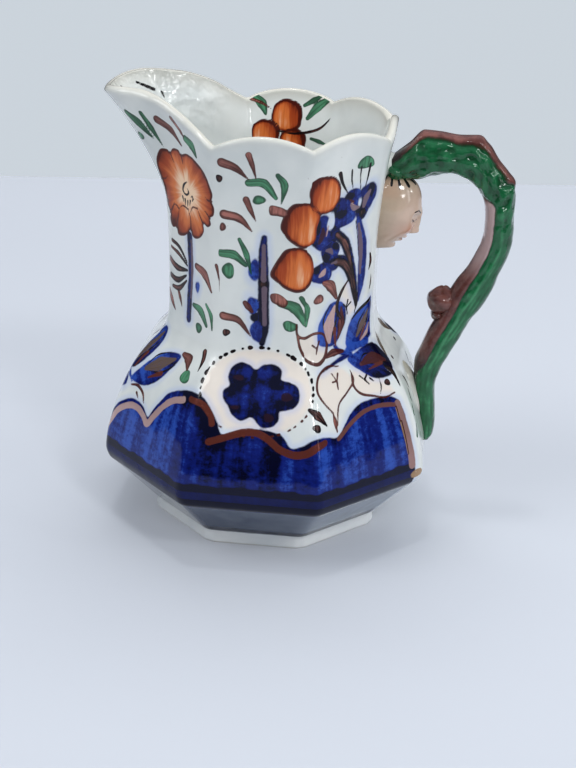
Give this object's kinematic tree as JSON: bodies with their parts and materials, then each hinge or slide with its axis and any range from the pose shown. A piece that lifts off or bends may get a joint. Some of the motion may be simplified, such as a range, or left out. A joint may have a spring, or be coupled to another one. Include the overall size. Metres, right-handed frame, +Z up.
{
  "type": "cream jug",
  "caption": "Octagonal glazed earthenware cream jug with a pinched spout, a scalloped rim and a serpent handle over a small relief mask.",
  "frame": {"origin": "on the table, under the middle of the octagonal foot", "axes": "+Z up, +X towards the handle, -X towards the spout, +Y across the jug"},
  "size_m": [0.1033, 0.0834, 0.1133],
  "materials": {
    "painted_glaze": "white glaze with painted cobalt, iron red, green and copper lustre",
    "white_glaze": "white glaze, a little worn at the standing edge",
    "green_enamel": "glossy green enamel with a pink-brown ridge",
    "cream_glaze": "cream glaze with a soft peach blush"
  },
  "bodies": {
    "root": {"jug_body": "painted_glaze", "foot_ring": "white_glaze", "serpent_handle": "green_enamel", "mask_sprig": "cream_glaze", "upper_lute": "cream_glaze", "lower_lute": "cream_glaze"}
  },
  "joints": []
}
